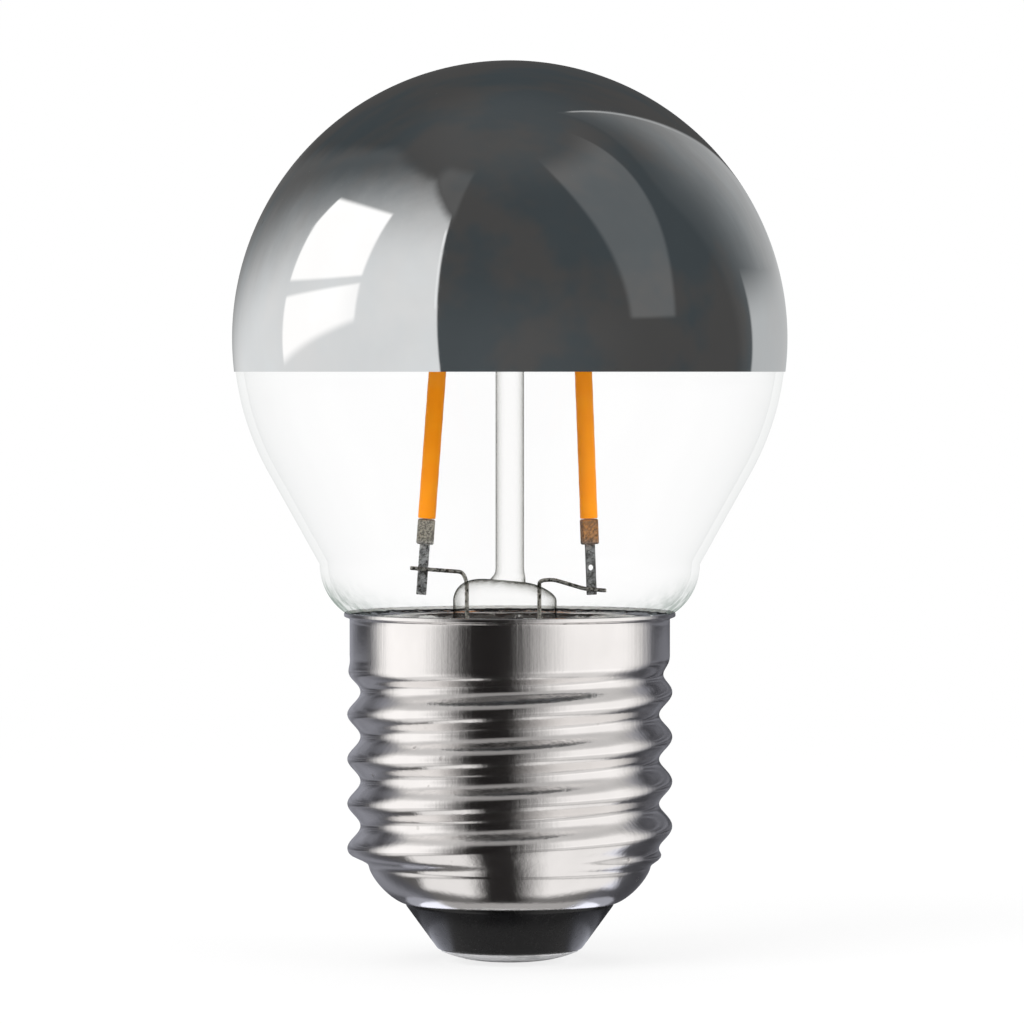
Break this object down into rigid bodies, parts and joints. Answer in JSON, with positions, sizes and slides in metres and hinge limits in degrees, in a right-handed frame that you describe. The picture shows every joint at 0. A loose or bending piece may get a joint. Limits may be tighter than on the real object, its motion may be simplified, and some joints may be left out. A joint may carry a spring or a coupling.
{
  "type": "crown silvered filament lamp",
  "caption": "Small ball-shaped lamp with a mirrored top half, clear lower half with amber LED filaments on a glass post, and a screw cap.",
  "frame": {"origin": "tip of the centre contact, on the axis of the lamp: the point where the lamp meets its holder", "axes": "+Z along the axis from the cap to the mirrored crown; +X to the right in the picture, through the plane of the two filaments; -Y towards the camera"},
  "size_m": [0.045, 0.045, 0.0731],
  "materials": {
    "clear_glass": "clear, blown",
    "silver_coat": "bright mirror, dark blue-grey where it reflects the room",
    "stem_glass": "clear, fused and pressed",
    "nickel_plate": "bright nickel plate over rolled sheet, faint rolling marks",
    "black_glass": "glossy black glass",
    "solder": "dull, lightly dimpled solder",
    "cement": "baked cement, dark at the rim",
    "amber_silicone": "amber phosphor in silicone, satin",
    "ceramic": "white ceramic strip",
    "steel_tab": "stamped strip steel",
    "nickel_wire": "drawn nickel wire",
    "tinned_copper": "tinned copper wire",
    "board": "lacquered glass-fibre board",
    "capacitor_sleeve": "shrink sleeve over the can",
    "moulded_chip": "moulded black epoxy",
    "resistor_enamel": "enamelled resistor body",
    "chip_resistor": "glazed black chip"
  },
  "bodies": {
    "root": {"glass_envelope": "clear_glass", "mirror_crown": "silver_coat", "glass_stem": "stem_glass", "cap_shell": "nickel_plate", "cap_insulator": "black_glass", "contact_plate": "nickel_plate", "contact_solder": "solder", "cap_cement": "cement", "left_filament_coat": "amber_silicone", "right_filament_coat": "amber_silicone", "left_filament_strip": "ceramic", "right_filament_strip": "ceramic", "left_lower_tab": "steel_tab", "left_upper_tab": "steel_tab", "right_lower_tab": "steel_tab", "right_upper_tab": "steel_tab", "left_lead_wire": "nickel_wire", "right_lead_wire": "nickel_wire", "top_support_wire": "nickel_wire", "driver_board": "board", "bridge_rectifier": "moulded_chip", "driver_chip": "moulded_chip", "chip_resistor_1": "chip_resistor", "chip_resistor_2": "chip_resistor", "smoothing_capacitor": "capacitor_sleeve", "fuse_resistor": "resistor_enamel", "contact_wire": "tinned_copper", "shell_wire": "tinned_copper"}
  },
  "joints": []
}
